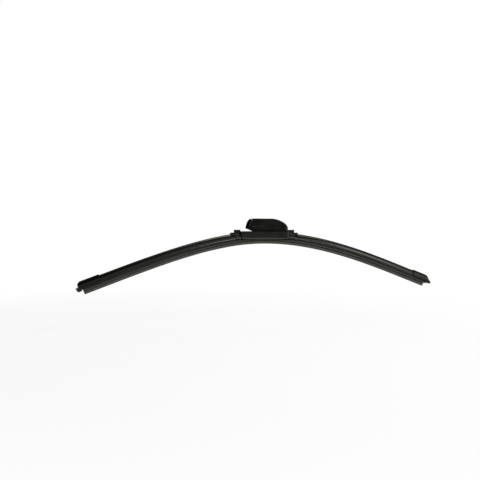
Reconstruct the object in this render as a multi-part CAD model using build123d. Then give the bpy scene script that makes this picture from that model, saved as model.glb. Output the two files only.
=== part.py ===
from build123d import *
from math import cos, degrees, sin
import os

# Flat wiper blade with a rocking arm adapter, in millimetres.
# +X runs along the blade, -Y is the wind side and +Z points away from the glass.
# The origin is on the arm socket's centre line, straight above the pivot pin.

# Blade: lengths along the rails from the pin to each end of the rubber
left_span = 290.0
right_span = 315.0
left_apex_radius = 304.0
right_apex_radius = 388.0
left_fade_ratio = 1.75
right_fade_ratio = 1.27
bend_share = 0.8
bend_count = 4

# Spring rails
rail_width = 5.0
rail_thickness = 0.9
rail_gap = 2.2
rail_overhang = 3.5
rail_end_chamfer = 1.5
rail_clearance = 0.15

# Wiping rubber
head_width = 5.2
head_height = 1.35
web_width = 1.9
neck_width = 8.8
neck_height = 1.2
shoulder_width = 12.4
shoulder_height = 2.85
hinge_width = 0.9
hinge_height = 0.9
wedge_width = 6.8
wedge_side = 0.7
wedge_taper = 2.0
lip_root_width = 1.6
lip_width = 0.8
lip_height = 1.6

# Spoiler
claw_wall = 1.25
claw_hook = 0.75
claw_grip = 1.45
side_height = 1.2
crease_height = 2.8
crease_inset = 1.0
fin_height = 9.2
fin_edge = 2.2
fin_lead = 1.3
fin_hollow = 0.9
tail_swell = 0.25

# End caps
cap_length = 33.3
cap_wall = 1.3
cap_overlap = 18.0
cap_fit = 0.12
cap_end = 5.7
cap_nose_radius = 7.0
foot_start = 2.2
foot_reach = 3.2
foot_drop = 1.5
foot_height = 4.9
foot_radius = 1.8

# Heights on the connector, above the rubber's lip at the pin
pin_height = 19.0
base_bottom = 7.2
base_top = 19.5
floor_top = 24.6
hood_top = 39.4

# Rail clamp
plate_length = 40.0
plate_width = 14.0
plate_thickness = 1.2
plate_clearance = 0.2
claw_start = 8.0
claw_length = 8.0
ear_gap = 8.8
ear_thickness = 1.2
ear_width = 10.0
ear_radius = 3.2

# Pivot pin
pin_diameter = 4.0
pin_head_diameter = 6.0
pin_head_thickness = 0.7
pin_press = 0.01
pin_running = 0.05

# Base housing
base_left = 39.6
base_right = 42.5
base_width = 21.4
base_wall = 1.9
base_rake = 1.2
flare_reach = 0.7
flare_height = 2.2
flare_foot = 0.8
end_wall = 1.2
bar_start = 8.0
bar_length = 5.0
bar_height = 1.4
lip_reach = 2.0
lip_thickness = 0.6
base_corner_radius = 2.0
base_nose_radius = 10.0
collar_length = 9.0
collar_wall = 1.1
collar_fit = 0.25
collar_root = 7.0
collar_root_top = 12.8
tongue_width = 5.0
tongue_reach = 16.0
tongue_rise = 2.3
tongue_drop = 4.4

# Adapter core
core_thickness = 1.2
core_fit = 0.1
hub_radius = 3.5
hub_side_gap = 0.3
core_front = 26.0
core_rear = 28.0
stop_height = 9.0
stop_thickness = 2.0
rib_thickness = 1.4
rib_depth = 3.0
latch_width = 6.0
latch_length = 19.0
latch_slot = 0.8
tooth_height = 1.6
tooth_length = 4.0
tooth_setback = 7.0

# Hood cover
hood_width = 16.8
hood_wall = 1.5
hood_mouth = 27.0
hood_nose = 41.9
hood_skirt = 1.6
mouth_radius = 22.0
crown_end = 10.5
crown_radius = 43.0
nose_corner = 8.0
groove_start = 0.15
groove_height = 0.65
groove_depth = 0.7
hood_edge_chamfer = 1.3
skirt_rise_start = 12.0
skirt_rise_end = 25.0
ledge_reach = 0.9
ledge_thickness = 0.9
ledge_start = 9.0
ledge_length = 14.0
pick_margin = 0.1

# Derived levels in the part's own frame
rubber_depth = (rail_thickness / 2 + rail_clearance + neck_height + shoulder_height
                + hinge_height + wedge_side + wedge_taper + lip_height)
roof = hood_top - hood_wall
lip_z = -(floor_top + roof) / 2
pin_z = lip_z + pin_height
rail_z = lip_z + rubber_depth
floor_z = lip_z + floor_top
crown_z = lip_z + hood_top
base_top_z = lip_z + base_top
base_bottom_z = lip_z + base_bottom
rail_outer = rail_gap / 2 + rail_width
rail_face = rail_thickness / 2 + rail_clearance
slot_outer = rail_outer + rail_clearance
claw_outer = slot_outer + claw_wall
claw_inner = slot_outer - claw_grip
claw_bottom = -(rail_face + claw_hook)
head_top = rail_face + head_height

os.makedirs("parts", exist_ok=True)


# Side view through a point, with x along the blade and y up
def side_view(x, y, z):
    return Plane(origin=(x, y, z), x_dir=(1, 0, 0), z_dir=(0, -1, 0))


# Centreline: tangent arcs whose bend fades from the pin to straight tails

def bends(span, apex_radius, fade):
    step = bend_share / bend_count
    arcs = []
    for i in range(bend_count):
        near = 1 - i * step
        far = near - step
        mean = (near ** (fade + 1) - far ** (fade + 1)) / ((fade + 1) * step)
        arcs.append((span * step, apex_radius / mean))
    return arcs


left_arcs = bends(left_span, left_apex_radius, left_fade_ratio)
right_arcs = bends(right_span, right_apex_radius, right_fade_ratio)


def station(s):
    side, arcs = (1, right_arcs) if s >= 0 else (-1, left_arcs)
    rest, turn, x, z = abs(s), 0.0, 0.0, 0.0
    for length, radius in arcs:
        part = min(length, rest)
        ahead = turn + part / radius
        x += radius * (sin(ahead) - sin(turn))
        z -= radius * (cos(turn) - cos(ahead))
        turn, rest = ahead, rest - part
    x += rest * cos(turn)
    z -= rest * sin(turn)
    return Plane(origin=(side * x, 0, rail_z + z), x_dir=(0, 1, 0),
                 z_dir=(cos(turn), 0, -side * sin(turn)))


def stretches():
    marks = []
    s = 0.0
    for length, radius in left_arcs:
        marks.insert(0, (s - length, s, radius))
        s -= length
    s = 0.0
    for length, radius in right_arcs:
        marks.append((s, s + length, radius))
        s += length
    return [(float("-inf"), marks[0][0], None)] + marks + [(marks[-1][1], float("inf"), None)]


# A section carried along the centreline from one arc length to another
def along(section, start, end):
    pieces = []
    for low, high, radius in stretches():
        a, b = max(low, start), min(high, end)
        if a >= b:
            continue
        plane = station(a)
        face = plane * section
        if radius is None:
            pieces.append(extrude(face, amount=b - a, dir=plane.z_dir))
        else:
            centre = plane.origin - plane.y_dir * radius
            pieces.append(revolve(face, Axis(centre, (0, 1, 0)), degrees((b - a) / radius)))
    solid = pieces[0]
    for piece in pieces[1:]:
        solid = solid + piece
    return solid


# Side view plane at an end of the blade, with x pointing outwards
def end_view(side, s):
    plane = station(side * s)
    return Plane(origin=plane.origin, x_dir=plane.z_dir * side, z_dir=(0, -side, 0))


def span_of(side):
    return right_span if side > 0 else left_span


def base_end(side):
    return base_right if side > 0 else base_left


# Both ways along the blade in rising order
def between(side, near, far):
    return (near, far) if side > 0 else (-far, -near)


def mirrored(points):
    return points + [(-y, v) for y, v in reversed(points)]


# Sections across the blade: y across, v up from the rails' middle

def rubber_section():
    top = -rail_face
    neck = top - neck_height
    shoulder = neck - shoulder_height
    hinge = shoulder - hinge_height
    side = hinge - wedge_side
    lip = side - wedge_taper
    return make_face(Polyline(mirrored([
        (head_width / 2, head_top),
        (head_width / 2, rail_face),
        (web_width / 2, rail_face),
        (web_width / 2, top),
        (neck_width / 2, top),
        (neck_width / 2, neck),
        (shoulder_width / 2, neck),
        (shoulder_width / 2, shoulder),
        (hinge_width / 2, shoulder),
        (hinge_width / 2, hinge),
        (wedge_width / 2, hinge),
        (wedge_width / 2, side),
        (lip_root_width / 2, lip),
        (lip_width / 2, lip - lip_height),
    ]), close=True))


# Outside of the spoiler, grown by a wall for what fits round it and open further down
def fin_outline(grow, drop):
    half = claw_outer + grow
    low = claw_bottom - drop
    top = fin_height + grow
    side = side_height + grow / 2
    crease = (-half + crease_inset, crease_height + grow / 2)
    front_top = (-fin_lead - fin_edge / 2 - grow / 2, top)
    back_top = (-fin_lead + fin_edge / 2 + grow / 2, top)
    shoulder = (half, side)
    edges = [
        Line((half, low), (-half, low)),
        Line((-half, low), (-half, side)),
        Line((-half, side), crease),
        SagittaArc(crease, front_top, -fin_hollow),
        Line(front_top, back_top),
        SagittaArc(back_top, shoulder, -tail_swell),
        Line(shoulder, (half, low)),
    ]
    return make_face(edges)


# Room inside the spoiler and the caps for the rails and the rubber's head
def rail_slots():
    return Rectangle(2 * slot_outer, 2 * rail_face)


def rail_room():
    room = Pos(0, (head_top + rail_clearance) / 2) * Rectangle(head_width + 2 * rail_clearance,
                                                               head_top + rail_clearance)
    mouth = Pos(0, claw_bottom) * Rectangle(2 * claw_inner, 2 * (rail_face + claw_hook + cap_wall))
    return rail_slots() + room + mouth


def spoiler_section():
    return fin_outline(0, 0) - rail_room()


# Rubber and rails

def rail(side):
    middle = Pos(side * (rail_gap + rail_width) / 2, 0)
    strip = along(middle * Rectangle(rail_width, rail_thickness),
                  -(left_span + rail_overhang), right_span + rail_overhang)
    ends = strip.faces().sort_by(Axis.X)
    corners = [edge for face in (ends[0], ends[-1])
               for edge in face.edges() if edge.length < rail_width / 2]
    return chamfer(corners, rail_end_chamfer)


# Spoilers and end caps

def spoiler(side):
    near = base_end(side) + end_wall
    far = span_of(side) - cap_length + cap_end + cap_overlap
    return along(spoiler_section(), *between(side, near, far))


def end_cap(side):
    span = span_of(side)
    inner = span + cap_end - cap_length
    tip = span + cap_end + foot_reach
    body = along(fin_outline(cap_wall, foot_drop), *between(side, inner, tip))
    view = end_view(side, span)
    high = fin_height + cap_wall
    fin_view = Pos((cap_end - cap_length) / 2, (claw_bottom + high) / 2) * Rectangle(
        cap_length + cap_end, high - claw_bottom)
    fin_view = fillet(fin_view.vertices().group_by(Axis.X)[-1].sort_by(Axis.Y)[-1], cap_nose_radius)
    foot_end = cap_end + foot_reach
    foot_view = Pos((foot_start + foot_end) / 2, claw_bottom - foot_drop + foot_height / 2) * Rectangle(
        foot_end - foot_start, foot_height)
    foot_view = fillet(foot_view.vertices().group_by(Axis.X)[-1], foot_radius)
    shape = extrude(view * (fin_view + foot_view), amount=2 * claw_outer, both=True)
    body = body & shape
    sleeve = along(fin_outline(cap_fit, cap_fit), *between(side, inner, inner + cap_overlap + cap_fit))
    body = body - sleeve - along(rail_room(), *between(side, inner, span + rail_clearance))
    return body - along(rail_slots(), *between(side, span, span + rail_overhang + rail_clearance))


# Connector

def rail_clamp():
    plate_z = rail_z + head_top + plate_clearance
    plate = Pos(0, 0, plate_z + plate_thickness / 2) * Box(plate_length, plate_width, plate_thickness)
    leg_top = head_top + plate_clearance + plate_thickness
    leg_height = leg_top - claw_bottom
    leg = Pos(slot_outer + claw_wall / 2, (leg_top + claw_bottom) / 2) * Rectangle(claw_wall, leg_height)
    hook = Pos(slot_outer - claw_grip / 2 + claw_wall / 2, claw_bottom + claw_hook / 2) * Rectangle(
        claw_grip + claw_wall, claw_hook)
    claws = leg + hook
    claws = claws + mirror(claws, Plane.YZ)
    clamp = plate
    for side in (1, -1):
        clamp = clamp + along(claws, *between(side, claw_start, claw_start + claw_length))
    ear_foot = pin_z - plate_z
    ear_view = Pos(0, -ear_foot / 2) * Rectangle(ear_width, ear_foot)
    ear_view = make_hull(ear_view.edges() + Circle(ear_radius).edges())
    ear_view = ear_view - Circle(pin_diameter / 2 + pin_press)
    for side in (1, -1):
        ear = side_view(0, side * (ear_gap + ear_thickness) / 2, pin_z) * ear_view
        clamp = clamp + extrude(ear, amount=ear_thickness / 2, both=True)
    return clamp


def pivot_pin():
    middle = ear_gap / 2 + ear_thickness + pin_head_thickness / 2
    pin = extrude(side_view(0, 0, pin_z) * Circle(pin_diameter / 2), amount=middle, both=True)
    for side in (1, -1):
        head = side_view(0, side * middle, pin_z) * Circle(pin_head_diameter / 2)
        pin = pin + extrude(head, amount=pin_head_thickness / 2, both=True)
    return pin


# Open trough with flared cheeks, seen from its end, its side and above
def base_trough():
    left = -(base_left + end_wall)
    right = base_right + end_wall
    half = base_width / 2
    flare_bottom = base_bottom_z + flare_foot
    end_form = make_face(Polyline(mirrored([
        (half - flare_reach, base_top_z),
        (half - flare_reach, flare_bottom + flare_height),
        (half, flare_bottom),
        (half, base_bottom_z),
    ]), close=True))
    side_form = make_face(Polyline(
        (left + base_rake, base_bottom_z), (right, base_bottom_z),
        (right, base_top_z), (left, base_top_z), close=True))
    plan = Pos((left + right) / 2, 0, base_bottom_z) * Rectangle(right - left, base_width)
    plan = fillet(plan.vertices().group_by(Axis.X)[0], base_corner_radius)
    plan = fillet(plan.vertices().group_by(Axis.X)[-1], base_nose_radius)
    trough = extrude(Plane.YZ * end_form, amount=right, both=True)
    trough = trough & extrude(side_view(0, 0, 0) * side_form, amount=half, both=True)
    trough = trough & extrude(plan, amount=base_top - base_bottom)
    room = Pos((base_right - base_left) / 2, 0, base_bottom_z) * Rectangle(
        base_left + base_right, base_width - 2 * base_wall)
    room = fillet(room.vertices().group_by(Axis.X)[-1], base_nose_radius - base_wall)
    return trough - extrude(room, amount=2 * (base_top - base_bottom), both=True)


# Saddle over the spoiler's end, rooted low in the trough, and a stepped tongue along the fin
def collar(side):
    start = base_end(side)
    wall = collar_fit + collar_wall
    saddle = along(fin_outline(wall, wall), *between(side, start - collar_root, start + collar_length))
    saddle = saddle - Pos(side * (start - collar_root), 0, lip_z + collar_root_top + base_top / 2) * Box(
        2 * collar_root, base_width, base_top)
    crown = base_top_z + tongue_rise
    root = crown - tongue_drop - fin_height / 2
    for length, top in ((tongue_reach, crown - tongue_drop), (collar_length, crown)):
        near = start + end_wall / 2
        saddle = saddle + Pos(side * (near + length / 2), -fin_lead, (top + root) / 2) * Box(
            length, tongue_width, top - root)
    return saddle & Pos(side * start, 0, base_bottom_z + base_top / 2) * Box(
        2 * tongue_reach, base_width, base_top)


def base_housing():
    body = base_trough()
    bar_z = rail_z + head_top + plate_clearance + plate_thickness + bar_height / 2
    wall_middle = (base_width - base_wall) / 2
    for side in (1, -1):
        bar_x = side * (bar_start + bar_length / 2)
        body = body + Pos(bar_x, 0, bar_z) * Box(bar_length, 2 * wall_middle, bar_height)
        lip_x = side * (claw_start + claw_length / 2)
        for across in (1, -1):
            lip = Box(claw_length, lip_reach + base_wall / 2, lip_thickness)
            lip_y = across * (wall_middle - lip_reach / 2)
            body = body + Pos(lip_x, lip_y, base_bottom_z + lip_thickness / 2) * lip
        passage = fin_outline(collar_fit, collar_fit) + rail_room()
        near = base_end(side) - collar_root - end_wall
        far = base_end(side) + tongue_reach + end_wall
        body = body + collar(side) - along(passage, *between(side, near, far))
    return body


def adapter_core():
    width = hood_width - 2 * hood_wall - 2 * core_fit
    under = floor_z - core_thickness
    floor = Box(core_front + core_rear, width, core_thickness)
    core = Pos((core_rear - core_front) / 2, 0, floor_z - core_thickness / 2) * floor
    hub_width = ear_gap - 2 * hub_side_gap
    hub_view = side_view(0, 0, pin_z)
    hub_rise = floor_z - pin_z
    core = core + Pos(0, 0, pin_z + hub_rise / 2) * Box(2 * hub_radius, hub_width, hub_rise)
    core = core + extrude(hub_view * Circle(hub_radius), amount=hub_width / 2, both=True)
    core = core - extrude(hub_view * Circle(pin_diameter / 2 + pin_running), amount=hub_width, both=True)
    stop = Box(stop_thickness, width, stop_height)
    core = core + Pos(core_rear - stop_thickness / 2, 0, floor_z + stop_height / 2) * stop
    rib_length = core_rear - hub_radius
    rib_x = hub_radius + rib_length / 2
    for side in (1, -1):
        rib_y = side * (hub_width - rib_thickness) / 2
        core = core + Pos(rib_x, rib_y, under - rib_depth / 2) * Box(rib_length, rib_thickness, rib_depth)
    slots = Box(latch_length, latch_width + 2 * latch_slot, 3 * core_thickness)
    slots = slots - Box(latch_length, latch_width, 3 * core_thickness)
    core = core - Pos(latch_length / 2 - core_front, 0, floor_z) * slots
    tooth = make_face(Polyline((0, -core_thickness / 2), (tooth_length, -core_thickness / 2),
                               (tooth_length, tooth_height), close=True))
    tooth = side_view(tooth_setback - core_front, 0, floor_z) * tooth
    return core + extrude(tooth, amount=latch_width / 2, both=True)


# Height at which the falling crown meets the nose
def nose_brow(inset):
    radius = crown_radius - inset
    return crown_z - crown_radius + (radius ** 2 - (hood_nose - inset - crown_end) ** 2) ** 0.5


# Closed block of the hood's form, drawn in by a wall for its inside
def hood_block(inset):
    half = hood_width / 2 - inset
    top = crown_z - inset
    nose = hood_nose - inset
    back = -hood_mouth - inset
    low = base_top_z - hood_skirt - inset
    brow = nose_brow(inset)
    side_form = make_face([
        RadiusArc((crown_end, top), (nose, brow), crown_radius - inset),
        Polyline((nose, brow), (nose, low), (back, low), (back, top), (crown_end, top)),
    ])
    block = extrude(side_view(0, 0, 0) * side_form, amount=half, both=True)
    plan = Pos((nose + back) / 2, 0, low) * Rectangle(nose - back, 2 * half)
    plan = fillet(plan.vertices().group_by(Axis.X)[-1], nose_corner - inset)
    return block & extrude(plan, amount=top - low)


# The block rounded along its crown and brow
def hood_outside():
    block = hood_block(0)
    rim = []
    for edge in block.edges():
        middle = edge @ 0.5
        raised = middle.Z > nose_brow(0) - pick_margin and middle.X > pick_margin - hood_mouth
        if raised and (abs(middle.Y) > pick_margin or middle.X > hood_nose - pick_margin):
            rim.append(edge)
    return chamfer(rim, hood_edge_chamfer)


# Shell of that form behind a curved mouth, its skirt cut up towards the mouth
def hood_cover():
    low = base_top_z - hood_skirt
    under = floor_z - core_thickness
    rise = crown_z - under
    brow = -hood_mouth + mouth_radius - (mouth_radius ** 2 - rise ** 2) ** 0.5
    high = crown_z + hood_wall
    far = hood_nose + hood_wall
    kept = make_face([
        RadiusArc((-hood_mouth, under), (brow, crown_z), mouth_radius),
        Polyline((brow, crown_z), (brow, high), (far, high), (far, low), (-skirt_rise_start, low),
                 (-skirt_rise_end, under), (-hood_mouth, under)),
    ])
    hood = hood_outside() - hood_block(hood_wall)
    hood = hood & extrude(side_view(0, 0, 0) * kept, amount=hood_width, both=True)
    ledge = Box(ledge_length, ledge_reach + hood_wall, ledge_thickness)
    ledge_z = under - core_fit - ledge_thickness / 2
    for across in (1, -1):
        ledge_y = across * (hood_width - hood_wall - ledge_reach) / 2
        hood = hood + Pos(ledge_start + ledge_length / 2, ledge_y, ledge_z) * ledge
        groove = Box(2 * (hood_nose - nose_corner), 2 * groove_depth, groove_height)
        hood = hood - Pos(0, across * hood_width / 2, base_top_z + groove_start + groove_height / 2) * groove
    return hood


nodes = {
    "wiper_rubber": along(rubber_section(), -left_span, right_span),
    "spring_rail_front": rail(-1),
    "spring_rail_rear": rail(1),
    "spoiler_left": spoiler(-1),
    "spoiler_right": spoiler(1),
    "end_cap_left": end_cap(-1),
    "end_cap_right": end_cap(1),
    "rail_clamp": rail_clamp(),
    "pivot_pin": pivot_pin(),
    "base_housing": base_housing(),
    "adapter_core": adapter_core(),
    "hood_cover": hood_cover(),
}
for name, solid in nodes.items():
    solid.label = name
    export_step(solid, f"parts/{name}.step")
    print(name, len(solid.solids()), round(solid.volume, 1))
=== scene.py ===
import bpy
import bmesh
import math
from mathutils import Matrix, Vector


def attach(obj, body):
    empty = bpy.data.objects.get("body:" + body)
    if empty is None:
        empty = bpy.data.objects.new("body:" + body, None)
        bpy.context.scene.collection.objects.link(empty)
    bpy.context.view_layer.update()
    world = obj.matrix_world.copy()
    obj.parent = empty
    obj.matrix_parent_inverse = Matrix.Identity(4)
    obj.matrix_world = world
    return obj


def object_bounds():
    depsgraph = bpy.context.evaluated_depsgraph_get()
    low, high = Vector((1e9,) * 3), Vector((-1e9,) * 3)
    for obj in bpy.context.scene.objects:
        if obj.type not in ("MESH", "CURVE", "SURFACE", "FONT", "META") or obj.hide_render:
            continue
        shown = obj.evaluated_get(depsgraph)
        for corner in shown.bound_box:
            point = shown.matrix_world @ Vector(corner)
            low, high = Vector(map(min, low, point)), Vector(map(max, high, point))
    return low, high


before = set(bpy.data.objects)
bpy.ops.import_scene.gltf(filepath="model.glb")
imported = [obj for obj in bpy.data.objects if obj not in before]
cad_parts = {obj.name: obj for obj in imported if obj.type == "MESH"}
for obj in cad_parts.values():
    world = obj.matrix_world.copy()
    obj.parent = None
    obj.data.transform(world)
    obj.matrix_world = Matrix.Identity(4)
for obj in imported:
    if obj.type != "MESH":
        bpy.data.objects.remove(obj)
cadLow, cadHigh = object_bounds()


class Wire:  # a socket that takes part in sums
    def __init__(self, net, socket):
        self.net = net
        self.socket = socket

    def join(self, operation, first, second):
        return self.net.node("ShaderNodeMath", {"operation": operation}, {0: first, 1: second})

    def __add__(self, other):
        return self.join("ADD", self, other)

    def __radd__(self, other):
        return self.join("ADD", other, self)

    def __sub__(self, other):
        return self.join("SUBTRACT", self, other)

    def __rsub__(self, other):
        return self.join("SUBTRACT", other, self)

    def __mul__(self, other):
        return self.join("MULTIPLY", self, other)

    def __gt__(self, other):
        return self.join("GREATER_THAN", self, other)


class Net:  # a node tree that is filled from values and wires
    def __init__(self, tree):
        self.tree = tree
        tree.nodes.clear()

    def node(self, kind, settings=None, sockets=None, output=0):
        made = self.tree.nodes.new(kind)
        for name, value in (settings or {}).items():
            setattr(made, name, value)
        for name, value in (sockets or {}).items():
            if isinstance(value, Wire):
                self.tree.links.new(value.socket, made.inputs[name])
            else:
                made.inputs[name].default_value = value
        return Wire(self, made.outputs[output]) if made.outputs else made

    def split(self, vector):
        made = self.tree.nodes.new("ShaderNodeSeparateXYZ")
        self.tree.links.new(vector.socket, made.inputs[0])
        return [Wire(self, socket) for socket in made.outputs]

    def merge(self, x, y, z):
        return self.node("ShaderNodeCombineXYZ", {}, {0: x, 1: y, 2: z})

    def noise(self, vector, scale, detail):
        return self.node("ShaderNodeTexNoise", {}, {"Vector": vector, "Scale": scale, "Detail": detail})

    def spread(self, value, low, high, toLow, toHigh):  # a smooth ramp between two levels
        return self.node("ShaderNodeMapRange", {"interpolation_type": "SMOOTHSTEP"}, {
            "Value": value, "From Min": low, "From Max": high, "To Min": toLow, "To Max": toHigh})

    def tint(self, share, *colours):
        first, second = [c if isinstance(c, Wire) else (*c, 1) for c in colours]
        return self.node("ShaderNodeMix", {"data_type": "RGBA"}, {0: share, 6: first, 7: second}, output=2)

    def rayKinds(self):  # rays that are seen directly, and rays of reflections
        path = self.tree.nodes.new("ShaderNodeLightPath")
        names = ("Is Camera Ray", "Is Transmission Ray", "Is Glossy Ray")
        camera, through, glossy = [Wire(self, path.outputs[name]) for name in names]
        return camera + through, glossy

    def close(self, surface, kind="ShaderNodeOutputMaterial"):
        self.node(kind, {}, {"Surface": surface})


def addObject(name, data):
    made = bpy.data.objects.new(name, data)
    bpy.context.collection.objects.link(made)
    return made


def closeMesh(name, shape):
    mesh = bpy.data.meshes.new(name)
    shape.to_mesh(mesh)
    shape.free()
    return mesh


def startFinish(name):
    finish = bpy.data.materials.new(name)
    finish.use_nodes = True
    return finish, Net(finish.node_tree)


# the camera stands to the left and level with the blade
photoView = {
    "imageSide": 480,
    "focal": 632.9,  # pixels
    "turn": 20.8,  # degrees
    "rise": 0.543,
    "lipPixel": (263.3, 243.61),  # where the lip below the pin shows
    "lipPoint": (0, 0, -0.03125),
    "distance": 1.0,
    "clip": (0.05, 50),
}


def placeCamera(view):
    turn, rise = math.radians(view["turn"]), math.radians(view["rise"])
    ahead = Vector((math.sin(turn) * math.cos(rise), math.cos(turn) * math.cos(rise), -math.sin(rise)))
    right = Vector((math.cos(turn), -math.sin(turn), 0))
    up = right.cross(ahead)
    perPixel = view["distance"] / view["focal"]
    aside, below = [(p - view["imageSide"] / 2) * perPixel for p in view["lipPixel"]]
    lens = bpy.data.cameras.new("photoCamera")
    lens.lens = lens.sensor_width * view["focal"] / view["imageSide"]
    lens.clip_start, lens.clip_end = view["clip"]
    camera = addObject("photoCamera", lens)
    camera.location = Vector(view["lipPoint"]) - right * aside + up * below - ahead * view["distance"]
    camera.rotation_euler = Matrix((right, up, -ahead)).transposed().to_euler()
    bpy.context.scene.camera = camera


placeCamera(photoView)
print("camera placed")

# white room: white to the camera all round, for reflections dark in front and bright behind and to the right
white = (1, 1, 1)
lightTone = (1.0, 1.0, 0.91)
roomLook = {
    "fill": 0.65,
    "frontGlow": 0.05,
    "backGlow": 1.0,
    "backTurn": (-0.3, 0.5),  # from the front's glow to the back's
    "leftShare": 0.4,  # what is left of the back's glow on the left
    "leftTurn": (-0.3, 0.1),
    "horizonShare": 0.02,
    "horizonBand": (0.1, 0.24),
    "rightGlow": 0.7,
    "rightTurn": (0.45, 0.9),
    "highShare": 0.12,  # what is left of these glows higher up
    "highBand": (0.15, 0.7),
    "zenithGlow": 0.5,
    "zenithBand": (0.9, 0.99),
}


def makeRoom(look):
    world = bpy.data.worlds.new("whiteRoom")
    bpy.context.scene.world = world
    world.use_nodes = True
    net = Net(world.node_tree)
    seen, glossy = net.rayKinds()
    x, y, z = net.split(net.node("ShaderNodeTexCoord", output="Generated"))
    back = net.spread(y, *look["backTurn"], look["frontGlow"], look["backGlow"])
    back = back * net.spread(x, *look["leftTurn"], look["leftShare"], 1.0)
    back = back * net.spread(z, *look["horizonBand"], look["horizonShare"], 1.0)
    right = net.spread(x, *look["rightTurn"], 0.0, look["rightGlow"])
    mirrored = (back + right) * net.spread(z, *look["highBand"], 1.0, look["highShare"])
    mirrored = mirrored + net.spread(z, *look["zenithBand"], 0.0, look["zenithGlow"])
    strength = seen + glossy * mirrored + (1 - seen - glossy) * look["fill"]
    tone = net.tint(seen, lightTone, white)
    net.close(net.node("ShaderNodeBackground", {}, {"Color": tone, "Strength": strength}),
              "ShaderNodeOutputWorld")


floorLook = {
    "drop": 0.058,  # room under the blade for its full swing
    "reach": 12.0,
    "paint": (0.9, 0.9, 0.98),
    "shade": 0.3,  # how much of the floor is lit paint, the rest glows white
    "edge": (0.45, 0.9),  # where the lit paint runs out into plain white
    "mirror": 1.0,  # glow in reflections
    "front": (-1.0, -0.33),  # where that glow starts in front of the blade
    "back": (0.75, 1.5),  # and where it ends behind it
    "farMirror": 0.05,
}


def makeFloor(look, height):
    plane = bmesh.new()
    bmesh.ops.create_grid(plane, x_segments=1, y_segments=1, size=look["reach"])
    bmesh.ops.translate(plane, verts=plane.verts, vec=(0, 0, height))
    mesh = closeMesh("studioFloor", plane)
    floor = addObject("studioFloor", mesh)
    paint, net = startFinish("whiteFloor")
    seen, glossy = net.rayKinds()
    x, y = net.split(net.node("ShaderNodeTexCoord", output="Object"))[:2]
    mirrored = net.spread(y, *look["front"], 0.0, look["mirror"])
    mirrored = mirrored * net.spread(y, *look["back"], 1.0, look["farMirror"])
    level = net.merge(x, y, 0.0)
    reach = net.node("ShaderNodeVectorMath", {"operation": "LENGTH"}, {0: level}, output="Value")
    plain = net.spread(reach, *look["edge"], 1 - look["shade"], 1.0)
    lit = net.node("ShaderNodeBsdfDiffuse", {}, {"Color": (*look["paint"], 1)})
    glow = net.node("ShaderNodeEmission", {}, {
        "Color": net.tint(seen, lightTone, white), "Strength": seen + glossy * mirrored})
    net.close(net.node("ShaderNodeMixShader", {}, {0: seen * plain + glossy, 1: lit, 2: glow}))
    mesh.materials.append(paint)


softBoxes = {
    "backBox": {"place": (0.95, 1.7, 0.72), "size": (2.0, 0.85), "power": 13.0},
    "topBox": {"place": (1.3, 0.48, 1.1), "size": (1.9, 0.45), "power": 5.2},
    "frontBox": {"place": (0.5, -1.08, 0.75), "size": (0.8, 0.4), "power": 6.0},
}


def makeSoftBox(name, box):
    lamp = bpy.data.lights.new(name, "AREA")
    lamp.shape = "RECTANGLE"
    lamp.size, lamp.size_y = box["size"]
    lamp.energy = box["power"]
    lamp.color = lightTone
    lampObject = addObject(name, lamp)
    lampObject.location = box["place"]
    lampObject.rotation_euler = (-Vector(box["place"])).to_track_quat("-Z", "Y").to_euler()
    lampObject.visible_camera = False


makeRoom(roomLook)
makeFloor(floorLook, cadLow.z - floorLook["drop"])
for boxName, box in softBoxes.items():
    makeSoftBox(boxName, box)
print("room, floor and lamps set")

# each half's drop away from the pin, as shares of the reach's square, cube and fourth power
bow = {"left": (1.5436, -2.4099, 0.6006), "right": (1.2118, -1.0566, -0.7445)}
fineDetail, softDetail, streakDetail = 2.0, 3.0, 4.0
noiseSpan = (0.3, 0.7)  # the middle of a noise, where most of its values lie
dustSpan = (0.35, 0.75)
reliefDepth = 0.0001
# colour of the painted shadow in the gap where the hood meets the base
paintedSeamShadow = (0.0008, 0.0008, 0.0007)


def alongBlade(net):  # coordinates that follow the bow, so that streaks run along the blade
    x, y, z = net.split(net.node("ShaderNodeTexCoord", output="Object"))
    reach = net.node("ShaderNodeMath", {"operation": "ABSOLUTE"}, {0: x})
    square = reach * reach
    left, right = [square * (a + reach * b + square * c) for a, b, c in bow.values()]
    return x, y, z + left + (x > 0) * (right - left)


def dullSurface(net, look, colour, roughness, relief):
    normal = net.node("ShaderNodeBump", {}, {
        "Strength": look["bump"], "Distance": reliefDepth, "Height": relief})
    return net.node("ShaderNodeBsdfPrincipled", {}, {
        "Base Color": colour, "Roughness": roughness, "Normal": normal, "IOR": look["ior"]})


def plasticFinish(name, look):  # moulded black plastic with a fine grain
    finish, net = startFinish(name)
    place = net.node("ShaderNodeTexCoord", output="Object")
    grain = net.noise(place, look["grain"], fineDetail)
    clouds = net.noise(place, look["clouds"], softDetail)
    colour = net.tint(clouds, look["dark"], look["light"])
    roughness = net.spread(clouds, *noiseSpan, look["smooth"], look["rough"])
    surface = dullSurface(net, look, colour, roughness, grain)
    if "seamShadow" in look:  # painted shadow: a dark band where the hood meets the base, in place of the shade in the gap between them
        low, high = look["seamShadow"]
        height = net.split(place)[2]
        # painted shadow: within this height band the surface is swapped for a near-black diffuse
        inSeamShadow = (height > low) - (height > high)
        shade = net.node("ShaderNodeBsdfDiffuse", {}, {"Color": (*paintedSeamShadow, 1)})
        surface = net.node("ShaderNodeMixShader", {}, {0: inSeamShadow, 1: surface, 2: shade})
    net.close(surface)
    return finish


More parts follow.
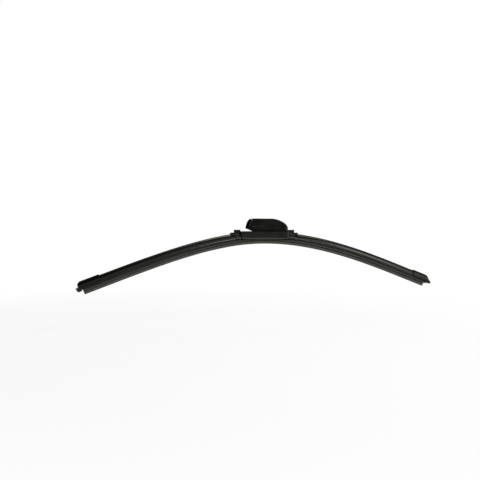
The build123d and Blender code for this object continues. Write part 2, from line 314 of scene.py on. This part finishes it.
def extrudedFinish(name, look):  # profile with faint streaks along its length, and painted shade that darkens its top
    finish, net = startFinish(name)
    x, y, z = alongBlade(net)
    streaks = net.noise(net.merge(x * look["stretch"], y, z), look["streaks"], streakDetail)
    dust = net.noise(net.merge(x, y, z), look["dust"], softDetail)
    colour = net.tint(net.spread(dust, *dustSpan, 0.0, 1.0), look["dark"], look["light"])
    # painted shade: above the given heights the colour turns dark, standing in for the shade on the upper
    # faces of the profile
    colour = net.tint(net.spread(z, *look["shadedTop"], 0.0, 1.0), colour, look["shadedTopColour"])
    roughness = net.spread(streaks, *noiseSpan, look["smooth"], look["rough"])
    net.close(dullSurface(net, look, colour, roughness, streaks))
    return finish


def steelFinish(name, look):  # drawn or rolled steel
    finish, net = startFinish(name)
    x, y, z = alongBlade(net)
    lines = net.noise(net.merge(x * look["stretch"], y, z), look["lines"], streakDetail)
    stain = net.noise(net.merge(x, y, z), look["stain"], softDetail)
    colour = net.tint(stain, look["dark"], look["light"])
    roughness = net.spread(lines, *noiseSpan, look["smooth"], look["rough"])
    net.close(net.node("ShaderNodeBsdfPrincipled", {}, {
        "Base Color": colour, "Metallic": 1.0, "Roughness": roughness}))
    return finish


hoodLook = {
    "grain": 3200.0, "clouds": 60.0, "seamShadow": (-0.0118, -0.0109),
    "dark": (0.0022, 0.0023, 0.0019), "light": (0.0036, 0.0037, 0.0031),
    "smooth": 0.27, "rough": 0.34, "bump": 0.25, "ior": 1.45,
}
baseLook = {
    "grain": 3200.0, "clouds": 70.0, "seamShadow": (-0.0121, -0.0117),
    "dark": (0.0075, 0.0077, 0.007), "light": (0.0105, 0.0107, 0.0097),
    "smooth": 0.28, "rough": 0.35, "bump": 0.25, "ior": 1.47,
}
coreLook = {
    "grain": 1800.0, "clouds": 90.0,
    "dark": (0.002, 0.002, 0.0018), "light": (0.0034, 0.0034, 0.003),
    "smooth": 0.34, "rough": 0.44, "bump": 0.15, "ior": 1.45,
}
capLook = {
    "streaks": 900.0, "stretch": 1.0, "dust": 80.0,
    "dark": (0.0145, 0.0148, 0.0134), "light": (0.019, 0.0194, 0.0176),
    "shadedTop": (-0.0192, -0.0172), "shadedTopColour": (0.0028, 0.0029, 0.0026),
    "smooth": 0.15, "rough": 0.21, "bump": 0.05, "ior": 1.47,
}
spoilerLook = {
    "streaks": 420.0, "stretch": 0.01, "dust": 45.0,
    "dark": (0.0145, 0.0148, 0.0134), "light": (0.019, 0.0194, 0.0176),
    "shadedTop": (-0.0192, -0.0172), "shadedTopColour": (0.0035, 0.0036, 0.0032),
    "smooth": 0.22, "rough": 0.29, "bump": 0.05, "ior": 1.47,
}
rubberLook = {
    "streaks": 500.0, "stretch": 0.01, "dust": 60.0,
    "dark": (0.034, 0.0344, 0.0325), "light": (0.046, 0.0464, 0.0435),
    "shadedTop": (-0.024, -0.0236), "shadedTopColour": (0.012, 0.0122, 0.0113),
    "smooth": 0.4, "rough": 0.54, "bump": 0.08, "ior": 1.45,
}
railLook = {
    "lines": 1800.0, "stretch": 0.01, "stain": 40.0,
    "dark": (0.3, 0.3, 0.31), "light": (0.42, 0.42, 0.43), "smooth": 0.28, "rough": 0.42,
}
clampLook = {
    "lines": 1500.0, "stretch": 0.05, "stain": 120.0,
    "dark": (0.42, 0.42, 0.43), "light": (0.56, 0.56, 0.57), "smooth": 0.3, "rough": 0.45,
}
pinLook = {
    "lines": 1500.0, "stretch": 0.4, "stain": 200.0,
    "dark": (0.5, 0.5, 0.5), "light": (0.62, 0.62, 0.62), "smooth": 0.2, "rough": 0.32,
}

finishes = {
    "hood": plasticFinish("hoodPlastic", hoodLook),
    "base": plasticFinish("basePlastic", baseLook),
    "core": plasticFinish("corePlastic", coreLook),
    "cap": extrudedFinish("capPlastic", capLook),
    "spoiler": extrudedFinish("spoilerSkin", spoilerLook),
    "rubber": extrudedFinish("wipingRubber", rubberLook),
    "rail": steelFinish("springSteel", railLook),
    "clamp": steelFinish("clampSteel", clampLook),
    "pin": steelFinish("pinSteel", pinLook),
}
print("finishes made:", len(finishes))

nodeEdges = {  # finish of each solid and the rounding of its edges, in metres
    "hood_cover": ("hood", 0.00045),
    "base_housing": ("base", 0.0003),
    "end_cap_left": ("cap", 0.0003),
    "end_cap_right": ("cap", 0.0003),
    "adapter_core": ("core", 0.0002),
    "spoiler_left": ("spoiler", 0.0002),
    "spoiler_right": ("spoiler", 0.0002),
    "wiper_rubber": ("rubber", 0.0001),
    "spring_rail_front": ("rail", 0.0001),
    "spring_rail_rear": ("rail", 0.0001),
    "rail_clamp": ("clamp", 0.00015),
    "pivot_pin": ("pin", 0.00015),
}
edgeLook = {"seamGap": 2e-6, "steps": 3, "sharpFrom": 35}  # edges from this angle on are rounded


def dressSolid(name, finish, rounding, look):
    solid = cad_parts[name]
    for slot in solid.material_slots:
        slot.material = finishes[finish]
    weld = solid.modifiers.new("closeSeams", "WELD")
    weld.merge_threshold = look["seamGap"]
    edge = solid.modifiers.new("roundEdges", "BEVEL")
    edge.width = rounding
    edge.segments = look["steps"]
    edge.limit_method = "ANGLE"
    edge.angle_limit = math.radians(look["sharpFrom"])
    normals = solid.modifiers.new("evenNormals", "WEIGHTED_NORMAL")
    normals.keep_sharp = False


for nodeName, (finish, rounding) in nodeEdges.items():
    dressSolid(nodeName, finish, rounding, edgeLook)
print("solids dressed:", len(nodeEdges))

# grip rib on each side of the hood, behind the mouth
gripRib = {
    "start": -0.0225, "end": -0.002, "level": -0.004, "side": 0.0084,
    "thick": 0.0009, "proud": 0.0003, "round": 0.00025,
}


def makeRib(name, look, across):
    rib = bmesh.new()
    bmesh.ops.create_cube(rib, size=1)
    bmesh.ops.scale(rib, verts=rib.verts, vec=(look["end"] - look["start"], 2 * look["proud"], look["thick"]))
    bmesh.ops.bevel(rib, geom=rib.edges[:], offset=look["round"], affect="EDGES",
                    segments=edgeLook["steps"], profile=0.5, material=-1)
    middle = ((look["start"] + look["end"]) / 2, across * look["side"], look["level"])
    bmesh.ops.translate(rib, verts=rib.verts, vec=middle)
    mesh = closeMesh(name, rib)
    mesh.materials.append(finishes["hood"])
    ribObject = addObject(name, mesh)
    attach(ribObject, "arm_side")


for ribName, across in (("gripRibFront", -1), ("gripRibRear", 1)):
    makeRib(ribName, gripRib, across)
print("grip ribs made")

bpy.context.scene.view_settings.view_transform = "Standard"
